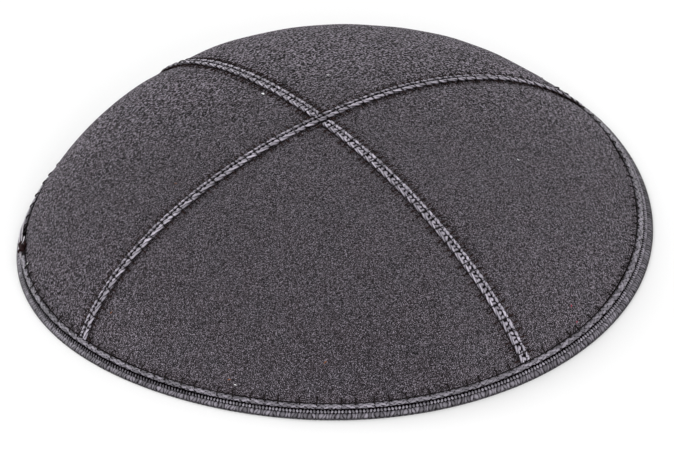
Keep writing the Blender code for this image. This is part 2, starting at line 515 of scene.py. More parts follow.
def cord_material(name, valley_shade, crest_light, strand_play):
    """Braid yarn: painted highlight on the lit crests of its strands, painted shade between them, each
    strand a little different.
    """
    material, tree, shader = new_material(name)
    fibres = noise(tree, 0.00022, roughness=0.6)
    worn = noise(tree, 0.0040)
    # The colour runs from painted shade in the valleys to painted light on the crests, and the shine
    # follows it
    share = rescale(painted(tree, "crest_light"), 0.25, 0.90, soft=True)
    colour = blend_colours(share, dyed(valley_shade, PLUM), dyed(crest_light, STEEL))
    tone = rescale(painted(tree, "strand"), 0.0, 1.0, 1.0 - strand_play, 1.0 + strand_play)
    tone = times(tone, rescale(fibres, 0.3, 0.7, 0.80, 1.20))
    tone = times(tone, rescale(worn, 0.3, 0.7, 0.90, 1.10))
    feed(shader, {
        "Base Color": blend_colours(1.0, colour, tone, "MULTIPLY"),
        "Roughness": 0.50,
        "Specular IOR Level": times(share, 0.45),
        "Sheen Weight": times(share, 0.25),
        "Sheen Roughness": 0.35,
        "Normal": bump(fibres, 0.0001, 0.5),
    })
    return material


def thread_material(name, base, light):
    """Sewing thread or lint, with a fine twist."""
    material, tree, shader = new_material(name)
    fibres = noise(tree, 0.00016, roughness=0.6)
    share = rescale(fibres, 0.35, 0.7)
    feed(shader, {
        "Base Color": blend_colours(share, (*base, 1.0), (*light, 1.0)),
        "Roughness": 0.70,
        "Specular IOR Level": 0.12,
        "Normal": bump(fibres, 0.00008, 0.5),
    })
    return material


SUEDE_FINISH = suede_material()
SEAM_YARN = cord_material("seam_braid_yarn", 0.005, 0.36, 0.40)
RIM_YARN = cord_material("rim_braid_yarn", 0.003, 0.20, 0.50)
# The fold's yarn is near-black: painted shade in the groove behind the rim's cords
FOLD_YARN = cord_material("rim_fold_yarn", 0.002, 0.06, 0.20)
THREAD_TONES = {
    "dark_thread": ((0.004, 0.003, 0.003), (0.014, 0.010, 0.010)),
    "brown_thread": ((0.004, 0.002, 0.002), (0.040, 0.018, 0.016)),
    "knot_thread": ((0.003, 0.001, 0.001), (0.026, 0.006, 0.008)),
    "pale_thread": ((0.400, 0.360, 0.400), (0.800, 0.780, 0.840)),
    "white_lint": ((0.850, 0.850, 0.870), (0.950, 0.950, 0.970)),
    "red_lint": ((0.250, 0.020, 0.045), (0.500, 0.060, 0.110)),
    "rust_lint": ((0.120, 0.045, 0.018), (0.320, 0.130, 0.060)),
}
THREADS = {name: thread_material(name, *tones) for name, tones in THREAD_TONES.items()}


# The suede panels, and the rim that they stand on

RIM_TURNS = np.linspace(0.0, FULL_TURN, 4000)
RIM_ALONG = arc_lengths(cap_point(RIM_TURNS, 1.0))
RIM_LENGTH = RIM_ALONG[-1]


def round_rim(pitch):
    """A length near this one that comes out even round the rim."""
    return RIM_LENGTH / round(RIM_LENGTH / pitch)


for size in ("pitch", "wave"):
    RIM_STITCH[size] = round_rim(RIM_STITCH[size])


def column_shares(width):
    """Where a panel's columns stand across it, closer together beside the seams."""
    edge = min(EDGE_ZONE / width, 0.32)
    near = np.linspace(0.0, edge, EDGE_COLUMNS, endpoint=False)
    middle = np.linspace(edge, 1.0 - edge, MIDDLE_COLUMNS, endpoint=False)
    far = np.linspace(1.0 - edge, 1.0, EDGE_COLUMNS + 1)
    return np.concatenate([near, middle, far])


def row_shares():
    """Where a panel's rows stand down it, closer together beside the binding."""
    edge = EDGE_ZONE / (RIM_RADIUS * ARM_PER_RADIUS)
    body = np.linspace(0.0, 1.0 - edge, PANEL_ROWS, endpoint=False)
    return np.concatenate([body, np.linspace(1.0 - edge, 1.0, HEM_ROWS + 1)])


def thread_pull(across, along, bite, row):
    """How far the thread draws the suede in and lets it puff up beside."""
    pulse = hill(stitch_gap(along, row), PULL_ALONG)
    pull = PULL * hill(across - bite, PULL_REACH) * (0.35 + 0.9 * pulse)
    puff = PUFF * hill(across - PUFF_AT, PUFF_REACH) * (1.0 - 0.4 * pulse)
    return puff - pull


def undulation(points):
    """The slight unevenness of soft suede."""
    x, y, z = (points[..., axis] for axis in range(3))
    waves = np.sin(x * 138.0 + y * 61.0 + 0.7) * np.sin(y * 117.0 - x * 43.0 + z * 90.0 + 2.1)
    waves = waves + 0.6 * np.sin(x * 205.0 - y * 160.0 + 4.0) * np.sin(y * 231.0 + z * 120.0 + 0.3)
    return UNEVENNESS * waves


def wear(points):
    """How rough the nap is rubbed: not at all in front, a little at the sides and most behind."""
    behind = points[..., :2] @ BACKWARDS
    aside = np.abs(points[..., 0] * BACKWARDS[1] - points[..., 1] * BACKWARDS[0])
    behind, aside = (behind + 0.022) / 0.055, (aside - 0.036) / 0.095
    return np.clip(np.maximum(behind, aside), 0.0, 1.0)


def suede_panel(name, first_seam, last_seam):
    """A quarter of the dome: a curved sheet, drawn in along its stitches."""
    start = SEAM_TURNS[first_seam]
    sweep = (SEAM_TURNS[last_seam] - start) % FULL_TURN
    top = PANEL_GAP / RIM_RADIUS
    middle_turn = start + sweep / 2
    turns, drops = [], []
    for share in row_shares():
        width = rim_radius(middle_turn) * spread(middle_turn, max(share, 0.01)) * math.radians(sweep)
        across = column_shares(width)
        turn = start + sweep * across
        drop = top + (drop_at(turn, hem_height(turn)) - top) * share
        reach = rim_radius(turn) * spread(turn, drop)
        inset = np.degrees(np.arcsin(PANEL_GAP / 2 / reach))
        turns.append(start + inset + (sweep - 2 * inset) * across)
        drops.append(drop)
    turn, drop = np.array(turns), np.array(drops)
    points = cap_point(turn, drop)
    reach = rim_radius(turn) * spread(turn, drop)
    from_start = reach * np.radians(turn - start)
    from_end = reach * np.radians(start + sweep - turn)
    across = np.minimum(from_start, from_end)
    along = np.where(from_start < from_end, arm_length(first_seam, drop), arm_length(last_seam, drop))
    above = (points[..., 2] - BINDING_HEIGHT) / wall_rise(turn)
    rim_along = np.interp(turn % FULL_TURN, RIM_TURNS, RIM_ALONG)
    seam_pull = thread_pull(across, along, SEAM_STITCH["bite"], SEAM_STITCH)
    rim_pull = thread_pull(above, rim_along, RIM_STITCH["bite"], RIM_STITCH)
    waves = undulation(points) * np.minimum(across / SMOOTH_ZONE, 1.0)
    lift = seam_pull + rim_pull * (above > -0.001) + waves
    points = points + slope_direction(turn, drop) * lift[..., None]
    faces = grid_faces(*turn.shape, False, False, 0)
    marks = {"seam_across": across, "seam_count": in_stitches(along, SEAM_STITCH), "rim_above": above,
             "rim_count": in_stitches(rim_along, RIM_STITCH), "drop": drop, "rubbed": wear(points)}
    panel = add_mesh(name + "_nap", points, faces, marks, [SUEDE_FINISH])
    clean_faces(panel, MERGE, True)
    wall = panel.modifiers.new("wall", "SOLIDIFY")
    wall.thickness = SUEDE
    wall.offset = -1.0
    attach(panel, "root")
    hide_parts(name)


def wall_rise(turn):
    """How much the wall beside the binding rises for each metre along it."""
    return 1.0 / np.linalg.norm(wall_lean(turn), axis=-1)


# The cords that the braids are made of


def restless(along, angle, seed):
    """Waves of no even beat along a cord, which come out whole round the rim."""
    turns = 2.0 * np.pi * along / RIM_LENGTH
    waves = np.sin(turns * 61 + angle + seed) + 0.8 * np.sin(turns * 149 - angle + 2.0 * seed)
    return waves + 0.6 * np.sin(turns * 263 + 2.0 * angle + 3.0 * seed)


def swept(line, across, lift):
    """A section's points all along a line, where it lies this far across and out of the line."""
    return (line["points"][:, None, :] + line["side"][:, None, :] * across[..., None]
            + line["out"][:, None, :] * lift[..., None])


def cord_surface(line, place, size, strands):
    """A cord along a line: its points, and how they are painted.

    The line holds its points, its side and out directions, and how far along each lies.
    The place and the size are the middle and the half width across and out of the cord.
    """
    columns = strands["columns"]
    around = np.arange(columns) / columns
    along = line["along"][:, None]
    angle = 2.0 * np.pi * around[None, :]
    lay = strands["turns"] * around[None, :]
    unrest = strands["unrest"] * restless(along, angle, strands["seed"])
    phase = along / strands["pitch"] + lay + strands["start"] + unrest
    if strands["woven"]:
        other = along / strands["pitch"] - lay - unrest
        over = (np.floor(phase) + np.floor(other)) % 2.0 < 1.0
        phase = np.where(over, phase, other)
    ridge = np.abs(np.sin(np.pi * phase)) ** strands["roundness"]
    number = np.floor(phase)
    shift = np.modf(np.abs(np.sin(number * 12.9898 + strands["seed"]) * 43758.5453))[0]
    depth = strands["depth"] * (1.0 - ridge) + strands["play"] * shift
    squeeze = 1.0 - strands["pinch"] * hill(line["stitch_gap"], strands["pinch_reach"])
    waver = 1.0 + strands["waver"] * np.sin(line["along"] * 410.0 + strands["seed"])
    taper = line["taper"]
    bulge = 1.0 - depth
    across = place[0] * taper[:, None] + size[0] * np.cos(angle) * bulge * (waver * taper)[:, None]
    lift = place[1] + size[1] * np.sin(angle) * bulge * (squeeze * taper)[:, None]
    lift = lift - size[1] * ((1.0 - squeeze) * 0.5 + (1.0 - taper) * 0.6)[:, None]
    # Painted light: the side of each cord towards lit_from is painted lighter, the far side darker
    lit_side = (0.5 + 0.5 * np.sin(angle + strands["lit_from"])) ** strands["highlight_focus"]
    # Painted shade in the pinch where each stitch draws the cord in
    pinch_shade = 1.0 - strands["pinch_shade"] * hill(line["stitch_gap"], PINCH_SHADE_REACH)
    # Painted shade between the strands: the valleys of each cord get the yarn's dark colour
    crest_light = strands["fill"] + (1.0 - strands["fill"]) * ridge
    crest_light = crest_light * (0.12 + 0.88 * lit_side) * (1.0 - line["darkened"])[:, None]
    crest_light = crest_light * strands["light"] * pinch_shade[:, None]
    return swept(line, across, lift), {"crest_light": crest_light, "strand": shift}


def join_surfaces(name, surfaces, ring, material):
    """One object of several tubes, each with closed ends unless it is a ring."""
    points, faces = [], []
    attributes = {"crest_light": [], "strand": []}
    first = 0
    for surface, paint in surfaces:
        rows, columns = surface.shape[:2]
        faces += grid_faces(rows, columns, ring, True, first)
        if not ring:
            faces.append(list(range(first, first + columns)))
            faces.append(list(range(first + (rows - 1) * columns, first + rows * columns))[::-1])
        points.append(surface.reshape(-1, 3))
        for key, values in paint.items():
            attributes[key].append(np.broadcast_to(values, (rows, columns)).ravel())
        first += rows * columns
    attributes = {key: np.concatenate(values) for key, values in attributes.items()}
    piece = add_mesh(name, np.concatenate(points), faces, attributes, [material])
    clean_faces(piece)
    return piece


# Each cord's strands: their lay and relief, and the painted light and shade on them, with a lit side,
# shade between strands and shade at the stitch pinches
PLAIN_STRANDS = {"turns": 0, "woven": False, "start": 0.0, "pinch": 0.0, "pinch_reach": 0.00040,
                 "waver": 0.0, "lit_from": 0.0, "highlight_focus": 1.0, "fill": 0.0, "pinch_shade": 0.0}
NEAR_CORD = {**PLAIN_STRANDS, "columns": 22, "pitch": 0.00300, "turns": -3, "unrest": 0.10,
             "roundness": 1.0, "depth": 0.26, "play": 0.06, "seed": 1.0, "pinch": 0.20,
             "pinch_reach": 0.00034, "waver": 0.06, "light": 1.00, "lit_from": -0.20, "fill": 0.34,
             "pinch_shade": 0.4}
FAR_CORD = {**PLAIN_STRANDS, "columns": 18, "pitch": 0.00150, "turns": -1, "unrest": 0.20,
            "start": 0.3, "roundness": 0.8, "depth": 0.40, "play": 0.20, "seed": 5.0, "pinch": 0.22,
            "waver": 0.10, "light": 0.85, "lit_from": 0.1, "fill": 0.36, "pinch_shade": 0.3}
SHORT_FAR_CORD = {**FAR_CORD, "light": 1.05, "start": 0.8}
RUNGS = {**PLAIN_STRANDS, "columns": 10, "pitch": 0.00150, "unrest": 0.12, "roundness": 0.9,
         "depth": 0.66, "play": 0.10, "seed": 6.0, "light": 0.92, "pinch_shade": 0.3}
PINCH_SHADE_REACH = 0.00027
BRAID_STEP = 0.00014
BRAID_LIFT = 0.00003
NEAR_RISE = 0.00056
FAR_RISE = 0.00048
FAR_HALF = 0.00052
LONG_NEAR_HALF = 0.00056
SHORT_NEAR_HALF = 0.00046
RUNG_RISE = 0.00030
RUNG_HALF = 0.00024
RUNG_OVERLAP = 0.00010
TAPE_HALF = 0.72 * BRAID_WIDTH / 2
TAPE_TOP = 0.00026


def braid_ends(seam):
    """How far down a seam its braid starts, on a short half, and ends above the binding."""
    last = drop_at(SEAM_TURNS[seam], BINDING_HEIGHT + SEAT / 2)
    return BRAID_WIDTH / 2 + BRAID_BREAK, float(arm_length(seam, last))


def seam_line(arms):
    """The line of a seam braid over one arm, or over two that meet at the crown.

    Each arm is its seam and its direction: +1 where the braid runs down it. The line's side
    is level, and out is off the suede.
    """
    points, along, gaps, tapers = [], [], [], []
    for seam, direction in arms:
        first, last = braid_ends(seam)
        if len(arms) > 1:
            first = BRAID_STEP / 2
        lengths = np.arange(first, last, BRAID_STEP)[::direction]
        points.append(cap_point(SEAM_TURNS[seam], arm_drop(seam, lengths)))
        along.append(lengths * direction)
        gaps.append(stitch_gap(lengths, SEAM_STITCH))
        rounded = np.clip((lengths - first) / 0.0011, 0.02, 1.0)
        tapers.append(np.ones_like(lengths) if len(arms) > 1 else np.sqrt(1.0 - (1.0 - rounded) ** 2))
    points, along, gap, taper = (np.concatenate(part) for part in (points, along, gaps, tapers))
    forward = unit(np.gradient(points, axis=0))
    side = unit(np.cross(UP, forward))
    return {"points": points, "side": side, "out": unit(np.cross(forward, side)), "along": along,
            "stitch_gap": gap, "taper": taper, "darkened": np.zeros_like(along)}


def tape_surface(line, half_width, low, high):
    """The flat tape under the cords."""
    outline = np.array([(-half_width, low), (-half_width, high), (0.0, high * 0.9),
                        (half_width, high), (half_width, low)])
    across = outline[:, 0] * line["taper"][:, None]
    return swept(line, across, outline[None, :, 1]), {"crest_light": 0.12, "strand": 0.5}


def seam_braid(name, arms, near_half, far_strands):
    """The two cords of a seam braid, and the rungs and the tape that join them."""
    line = seam_line(arms)
    edge = BRAID_WIDTH / 2
    gap = BRAID_WIDTH - 2.0 * (near_half + FAR_HALF)
    rungs = cord_surface(line, (2.0 * near_half + (gap - BRAID_WIDTH) / 2, BRAID_LIFT + RUNG_RISE),
                         (gap / 2 + RUNG_OVERLAP, RUNG_HALF), RUNGS)
    near = cord_surface(line, (near_half - edge, BRAID_LIFT + NEAR_RISE), (near_half, NEAR_RISE),
                        NEAR_CORD)
    far = cord_surface(line, (edge - FAR_HALF, BRAID_LIFT + FAR_RISE), (FAR_HALF, FAR_RISE),
                       far_strands)
    tape = tape_surface(line, TAPE_HALF, BRAID_LIFT, TAPE_TOP)
    braid = join_surfaces(name + "_cords", [near, far, rungs, tape], False, SEAM_YARN)
    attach(braid, "root")
    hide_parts(name)


# The binding round the rim: each cord's place and size are its middle and half width, across and out

UPPER_CORD = {**PLAIN_STRANDS, "columns": 20, "pitch": 0.00230, "turns": 4, "woven": True,
              "unrest": 0.10, "roundness": 0.8, "depth": 0.22, "play": 0.14, "seed": 2.0,
              "pinch": 0.16, "waver": 0.05, "light": 1.30, "lit_from": 0.6, "highlight_focus": 2.4,
              "fill": 0.06, "pinch_shade": 0.2, "place": (0.00332, 0.00042), "size": (0.00068, 0.00062)}
LOWER_CORD = {**PLAIN_STRANDS, "columns": 22, "pitch": 0.00095, "turns": 1, "unrest": 0.22,
              "start": 0.2, "roundness": 0.6, "depth": 0.20, "play": 0.14, "seed": 3.0,
              "waver": 0.05, "light": 0.80, "lit_from": 0.8, "fill": 0.26,
              "place": (0.00086, 0.00056), "size": (0.00076, 0.00066)}
BEADS = {**PLAIN_STRANDS, "columns": 12, "pitch": 0.00095, "unrest": 0.05, "roundness": 1.3,
         "depth": 0.95, "play": 0.12, "seed": 7.0, "light": 1.7,
         "place": (0.00213, 0.00068), "size": (0.00044, 0.00036)}

# Where the rim's braid is darker: a turn, how far the darkening reaches to each side, how it fades, and
# how dark it gets
CORD_DARKENING = {"turn": 142.0, "half": 2.6, "fade": 1.2, "share": 0.80}
GROOVE_DARKENING = {"turn": 180.0, "half": 26.0, "fade": 9.0, "share": 0.60}
FOOT_DARKENING = {"turn": 345.0, "half": 20.0, "fade": 18.0, "share": 0.22}
RIM_STEPS = 3400
FOLD_STEPS = 720
FOLD_RIB = 0.0016
GROOVE_SHADE_HEIGHT = 0.00225
GROOVE_SHADE_REACH = 0.0006


def rim_line(steps, darkening):
    """The line round the cap's foot: side runs up the wall and out is level."""
    turn = np.arange(steps) * FULL_TURN / steps
    points = cap_point(turn, 1.0)
    lean = wall_lean(turn)
    forward = np.roll(points, -1, axis=0) - np.roll(points, 1, axis=0)
    out = unit(np.cross(forward, UP)) * np.linalg.norm(lean, axis=-1, keepdims=True)
    along = np.interp(turn, RIM_TURNS, RIM_ALONG)
    past = np.maximum(turn_apart(turn, darkening["turn"]) - darkening["half"], 0.0)
    return {"points": points, "side": lean, "out": out, "along": along,
            "stitch_gap": stitch_gap(along, RIM_STITCH), "taper": np.ones(steps),
            "darkened": darkening["share"] * hill(past, darkening["fade"])}


def rim_cord(name, strands, darkening):
    """One of the cords that show outside the binding."""
    surface = cord_surface(rim_line(RIM_STEPS, darkening), strands["place"], strands["size"],
                           {**strands, "pitch": round_rim(strands["pitch"])})
    cord = join_surfaces(name, [surface], True, RIM_YARN)
    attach(cord, "root")


def rim_fold():
    """The flat braid that folds under the suede's edge, behind the cords and up inside."""
    line = rim_line(FOLD_STEPS, CORD_DARKENING)
    inside = -SUEDE - SEAT
    back = inside - BINDING_RETURN
    section = [
        (0.0000, 0.00085), (0.0003, 0.00105), (0.0010, 0.00080), (0.0017, 0.00045),
        (0.0023, 0.00020), (0.0028, 0.00030), (0.0032, 0.00080), (0.0038, 0.00055),
        (0.0039, 0.00020), (0.0036, 0.00010), (BINDING_SOLE, SEAT),
        (BINDING_SOLE, inside), (BINDING_RETURN_HEIGHT - 0.0002, inside),
        (BINDING_RETURN_HEIGHT, (inside + back) / 2), (BINDING_RETURN_HEIGHT - 0.0002, back),
        (0.0024, back - 0.0001), (0.0016, back), (0.0008, back - 0.0001), (0.0000, back + 0.0001),
    ]
    heights, away = np.array(section).T
    points = swept(line, heights[None, :], away[None, :])
    ribs = np.abs(np.sin(np.pi * line["along"] / FOLD_RIB))[:, None]
    # Painted shade: the fold is painted dark along the groove between the cords, where it shows between
    # the beads
    groove = hill(heights - GROOVE_SHADE_HEIGHT, GROOVE_SHADE_REACH) * (away > -0.0001)
    paint = {"crest_light": (0.25 + 0.5 * ribs) * (1.0 - groove), "strand": 0.5}
    fold = join_surfaces("rim_fold", [(points, paint)], True, FOLD_YARN)
    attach(fold, "root")
    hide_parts("rim_binding")


# The stitches, made by Geometry Nodes

LONG_SEAM = ("left", "right")
CROWN_STITCH = 0.001
LAST_STITCH = 0.0012
STITCH_RISE = 0.00022
FAR_TICK_PITCH = 0.00215
NEAR_TICK_PITCH = 0.00300
TICK_GAP = 0.00070
TICK_RISE = 0.00028
TICK_TILT = 0.11
RIM_STITCH_TOP_OUT = 0.00014
RIM_STITCH_FOOT = 0.00362
RIM_STITCH_FOOT_OUT = 0.00088

STITCH_INPUTS = {"Places": "Geometry", "thread": "Float", "span": "Float", "height": "Float",
                 "sink": "Float", "groove": "Float", "seed": "Int", "steps": "Int", "sides": "Int",
                 "finish": "Material"}


def stitch_tree():
    """A stitch on each point: thread that comes up, crosses the cords and goes down."""
    tree = bpy.data.node_groups.new("stitch_row", "GeometryNodeTree")
    for name, kind in STITCH_INPUTS.items():
        tree.interface.new_socket(name, in_out="INPUT", socket_type="NodeSocket" + kind)
    tree.interface.new_socket("Stitches", in_out="OUTPUT", socket_type="NodeSocketGeometry")
    given = tree.nodes.new("NodeGroupInput").outputs
    line = new_node(tree, "GeometryNodeCurvePrimitiveLine", {"End": (1.0, 0.0, 0.0)})
    steps = new_node(tree, "GeometryNodeResampleCurve", {"Curve": line, "Count": given["steps"]})
    share = new_node(tree, "GeometryNodeSplineParameter").outputs["Factor"]
    centred = reckon("SUBTRACT", times(share, 2.0), 1.0)
    off = reckon("ABSOLUTE", centred)
    crown = reckon("SUBTRACT", 1.0, reckon("POWER", off, 4.0))
    fall = times(given["sink"], reckon("POWER", off, 7.0))
    hollow = reckon("MAXIMUM", reckon("SUBTRACT", 1.0, times(off, 3.2)), 0.0)
    level = reckon("SUBTRACT", times(given["height"], crown), fall)
    level = reckon("SUBTRACT", level, times(given["groove"], hollow))
    reach = times(centred, times(given["span"], 0.5))
    place = new_node(tree, "ShaderNodeCombineXYZ", {"X": reach, "Z": level})
    bent = new_node(tree, "GeometryNodeSetPosition", {"Geometry": steps, "Position": place})
    ring = new_node(tree, "GeometryNodeCurvePrimitiveCircle",
                    {"Resolution": given["sides"], "Radius": given["thread"]})
    tube = new_node(tree, "GeometryNodeCurveToMesh",
                    {"Curve": bent, "Profile Curve": ring, "Fill Caps": True})
    side, out = (new_node(tree, "GeometryNodeInputNamedAttribute", {"Name": name},
                          {"data_type": "FLOAT_VECTOR"}) for name in ("side", "out"))
    heading = new_node(tree, "FunctionNodeAxesToRotation",
                       {"Primary Axis": out, "Secondary Axis": side},
                       {"primary_axis": "Z", "secondary_axis": "X"})
    skew = new_node(tree, "FunctionNodeRandomValue", {2: -0.16, 3: 0.16, "Seed": given["seed"]},
                    {"data_type": "FLOAT"})
    twist = new_node(tree, "ShaderNodeCombineXYZ", {"Z": skew.outputs[1]})
    turned = new_node(tree, "FunctionNodeRotateRotation", {0: heading, 1: twist},
                      {"rotation_space": "LOCAL"})
    growth = new_node(tree, "FunctionNodeRandomValue",
                      {0: (0.92, 0.9, 0.94), 1: (1.06, 1.15, 1.06), "Seed": given["seed"]},
                      {"data_type": "FLOAT_VECTOR"})
    copies = new_node(tree, "GeometryNodeInstanceOnPoints",
                      {"Points": given["Places"], "Instance": tube, "Rotation": turned,
                       "Scale": growth})
    real = new_node(tree, "GeometryNodeRealizeInstances", {0: copies})
    smooth = new_node(tree, "GeometryNodeSetShadeSmooth", {"Geometry": real})
    coloured = new_node(tree, "GeometryNodeSetMaterial",
                        {"Geometry": smooth, "Material": given["finish"]})
    new_node(tree, "NodeGroupOutput", {"Stitches": coloured})
    return tree


STITCH_TREE = stitch_tree()


def stitch_row(name, places, sides, outs, sizes, seed, material):
    """A row of stitches at some places, as one plain mesh."""
    mesh = bpy.data.meshes.new(name + "_places")
    mesh.from_pydata(places.tolist(), [], [])
    add_attributes(mesh, {"side": sides, "out": outs}, "FLOAT_VECTOR", "vector")
    guide = bpy.data.objects.new(name + "_places", mesh)
    CAP.objects.link(guide)
    maker = guide.modifiers.new("stitches", "NODES")
    maker.node_group = STITCH_TREE
    given = {"steps": 15, "sides": 7, **sizes, "seed": seed, "finish": material}
    for item in STITCH_TREE.interface.items_tree:
        if item.in_out == "INPUT" and item.name in given:
            maker[item.identifier] = given[item.name]
    bpy.context.view_layer.update()
    shown = guide.evaluated_get(bpy.context.evaluated_depsgraph_get())
    stitches = bpy.data.objects.new(name, bpy.data.meshes.new_from_object(shown))
    bpy.data.objects.remove(guide)
    CAP.objects.link(stitches)
    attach(stitches, "root")


def seam_frames(seam, lengths):
    """Points this far down a seam, with the directions across the braid and out of it."""
    points = cap_point(SEAM_TURNS[seam], arm_drop(seam, lengths))
    forward = unit(cap_point(SEAM_TURNS[seam], arm_drop(seam, lengths + BRAID_STEP)) - points)
    side = unit(np.cross(UP, forward))
    return points, side, unit(np.cross(forward, side))


def seam_stitches():
    """The stitches over all the seam braids."""
    parts = []
    for seam in SEAM_TURNS:
        first, last = braid_ends(seam)
        first = CROWN_STITCH if seam in LONG_SEAM else first
        lengths = stitch_places(first, last - LAST_STITCH, SEAM_STITCH)
        points, side, out = seam_frames(seam, lengths)
        parts.append((points + out * STITCH_RISE, side, out))
    sizes = {"thread": 0.000115, "span": 2 * SEAM_STITCH["bite"], "height": 0.00084, "sink": 0.0001,
             "groove": 0.00020}
    stitch_row("seam_stitches", *(np.concatenate(part) for part in zip(*parts)), sizes, 4,
               THREADS["dark_thread"])


def edge_ticks():
    """Short brown ends of the seam thread, closer together along each braid's far edge."""
    parts = []
    for seam in SEAM_TURNS:
        first, last = braid_ends(seam)
        far_side = -1.0 if seam in ("back", "left") else 1.0
        for hand, pitch in ((far_side, FAR_TICK_PITCH), (-far_side, NEAR_TICK_PITCH)):
            lengths = np.arange(first, last - 0.001, pitch) + 0.0002
            lengths = lengths + 0.22 * pitch * np.sin(lengths * 2900.0)
            points, side, out = seam_frames(seam, lengths)
            side = side * hand
            parts.append((points + side * (BRAID_WIDTH / 2 + TICK_GAP) + out * TICK_RISE,
                          unit(side + TICK_TILT * out), unit(out - TICK_TILT * side)))
    sizes = {"thread": 0.00017, "span": 0.00215, "height": 0.00018, "sink": 0.00012, "groove": 0.0,
             "steps": 7, "sides": 5}
    stitch_row("seam_thread_ends", *(np.concatenate(part) for part in zip(*parts)), sizes, 12,
               THREADS["brown_thread"])


def rim_stitches():
    """The stitches that hold the upper cord: from the suede over it to the groove."""
    along = stitch_places(0.0, RIM_LENGTH, RIM_STITCH)
    turn = np.interp(along, RIM_ALONG, RIM_TURNS)
    foot = cap_point(turn, 1.0)
    side = wall_lean(turn)
    level = unit(np.cross(cap_point(turn + 0.1, 1.0) - foot, UP))
    out = unit(level - unit(side) * np.sum(level * unit(side), axis=-1, keepdims=True))
    top = foot + side * (BINDING_HEIGHT + RIM_STITCH["bite"]) + out * RIM_STITCH_TOP_OUT
    low = foot + side * RIM_STITCH_FOOT + out * RIM_STITCH_FOOT_OUT
    upright = unit(top - low)
    face = unit(out - upright * np.sum(out * upright, axis=-1, keepdims=True))
    sizes = {"thread": 0.00019, "span": float(np.mean(np.linalg.norm(top - low, axis=-1))),
             "height": 0.00012, "sink": 0.0001, "groove": 0.0}
    stitch_row("rim_stitches", (top + low) / 2, upright, face, sizes, 9, THREADS["dark_thread"])


# The knot on the rim, and the lint

KNOT_TURN = 145.4
KNOT_HEIGHT = 0.0038
KNOT_SIZE = 0.00064
KNOT_THREAD_HALF = 0.00050
LOOSE_THREAD_HALF = 0.00013
PULLED_THREAD_HALF = 0.00019

# Strands pulled off the braid: their height and way out, and the turns past the knot they span
PULLED = [(0.0037, 0.00108, -0.9, -14.0), (0.0019, 0.00122, -1.0, -10.0)]

# Flecks of lint: the turn and the drop of each, its length and half thickness, and its heading
LINT = {
    "white": [(100.75, 0.175, 0.0011, 0.00024, 80.0), (51.50, 0.177, 0.0007, 0.00012, 20.0),
              (313.25, 0.538, 0.0008, 0.00013, 60.0), (215.75, 0.904, 0.0008, 0.00012, 0.0),
              (151.00, 0.936, 0.0009, 0.00013, 75.0)],
    "red": [(283.25, 0.875, 0.0008, 0.00016, 35.0), (282.25, 0.924, 0.0007, 0.00013, 10.0)],
    "rust": [(168.50, 0.388, 0.0009, 0.00012, 50.0), (214.50, 0.889, 0.0010, 0.00014, 15.0),
             (183.50, 0.806, 0.0009, 0.00013, 65.0), (233.50, 0.796, 0.0010, 0.00014, 40.0)],
}


def tube_surface(points, upright, radius, sides, pointed):
    """A round thread along a line, which thins to its ends where it is pointed."""
    forward = unit(np.gradient(points, axis=0))
    side = unit(np.cross(upright, forward))
    out = np.cross(forward, side)
    share = np.linspace(-1.0, 1.0, len(points))
    thin = np.sqrt(np.maximum(1.0 - share ** 2, 0.04)) if pointed else np.ones_like(share)
    angle = 2.0 * np.pi * np.arange(sides) / sides
    ring = (side[:, None, :] * np.cos(angle)[None, :, None]
            + out[:, None, :] * np.sin(angle)[None, :, None])
    surface = points[:, None, :] + ring * (radius * thin)[:, None, None]
    return surface, {"crest_light": 1.0, "strand": 0.5}


def wall_frame(turn, drop):
    """A place on the suede with its directions: round the cap, up the wall and out of it."""
    point = cap_point(turn, drop)
    around = unit(cap_point(turn + 0.1, drop) - cap_point(turn - 0.1, drop))
    upward = unit(cap_point(turn, drop - 0.001) - point)
    out = unit(np.cross(around, upward))
    return point, around, unit(np.cross(out, around)), out


def placed(frame, places):
    """Points given round, up and out from a place on the cap."""
    point, around, upward, out = frame
    places = np.asarray(places, float)
    return point + places[:, :1] * around + places[:, 1:2] * upward + places[:, 2:] * out


def rim_points(turn):
    """The cap's foot at some turns, with the way up the wall and the level way out."""
    foot = cap_point(turn, 1.0)
    forward = cap_point(turn + 0.1, 1.0) - cap_point(turn - 0.1, 1.0)
    return foot, wall_lean(turn), unit(np.cross(forward, UP))


